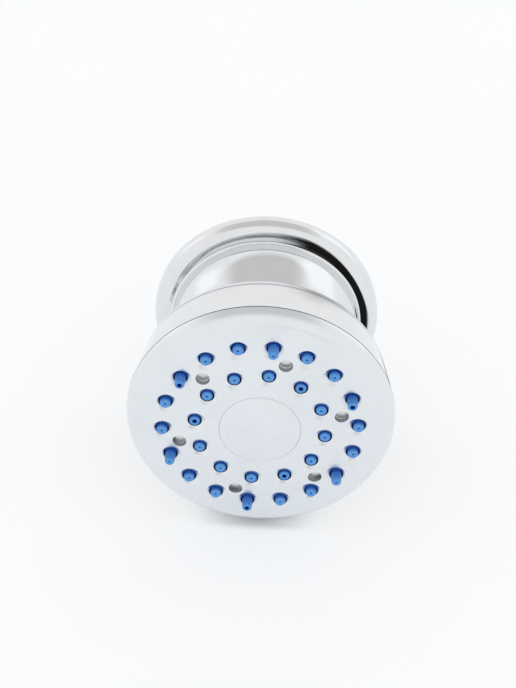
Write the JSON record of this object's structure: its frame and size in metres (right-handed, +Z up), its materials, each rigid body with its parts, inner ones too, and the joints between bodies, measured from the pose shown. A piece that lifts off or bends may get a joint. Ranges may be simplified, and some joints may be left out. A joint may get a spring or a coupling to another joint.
{
  "type": "shower body jet",
  "caption": "Wall-mounted shower body jet: round chrome spray head with blue silicone nozzles on a ball joint, held by a chrome dome with a round-edged flange.",
  "frame": {"origin": "centre of the inlet thread's mouth, in the plane of the wall", "axes": "+Y into the wall along the inlet, -Y out of the spray face, +Z up"},
  "size_m": [0.06, 0.0478, 0.06],
  "materials": {
    "chrome_brass": "polished chrome plate on brass",
    "chrome_plastic": "polished chrome plate",
    "raw_brass": "turned, unplated",
    "blue_silicone": "satin moulded silicone",
    "seal_rubber": "matt black rubber",
    "gasket_foam": "closed-cell foam",
    "slip_plastic": "natural acetal",
    "grey_plastic": "moulded grey plastic",
    "strainer_steel": "woven stainless mesh in a pressed rim",
    "screw_steel": "stainless steel"
  },
  "bodies": {
    "wall_mount": {"dome_flange": "chrome_brass", "inlet_body": "raw_brass", "wall_gasket": "gasket_foam", "inlet_washer": "seal_rubber", "inlet_strainer": "strainer_steel", "ball_seal": "seal_rubber", "seal_backup": "slip_plastic"},
    "slip_ring": {"friction_ring": "slip_plastic"},
    "ball": {"swivel_ball": "chrome_brass", "flow_limiter": "grey_plastic", "limiter_oring": "seal_rubber"},
    "head": {"head_shell": "chrome_plastic", "stem_insert": "raw_brass", "stem_washer": "seal_rubber", "spray_plate": "grey_plastic", "nozzle_mat": "blue_silicone", "face_plate": "chrome_plastic", "face_oring": "seal_rubber", "centre_screw": "screw_steel", "screw_seal": "seal_rubber", "centre_cap": "chrome_plastic"}
  },
  "joints": [
    {"name": "lean_direction", "type": "hinge", "parent": "wall_mount", "child": "slip_ring", "pos_m": [0, -0.021, 0], "axis": [0, -1, 0], "continuous": true},
    {"name": "lean", "type": "hinge", "parent": "slip_ring", "child": "ball", "pos_m": [0, -0.021, 0], "axis": [1, 0, 0], "range_deg": [-15, 15]},
    {"name": "head_spin", "type": "hinge", "parent": "ball", "child": "head", "pos_m": [0, -0.021, 0], "axis": [0, -1, 0], "continuous": true}
  ]
}
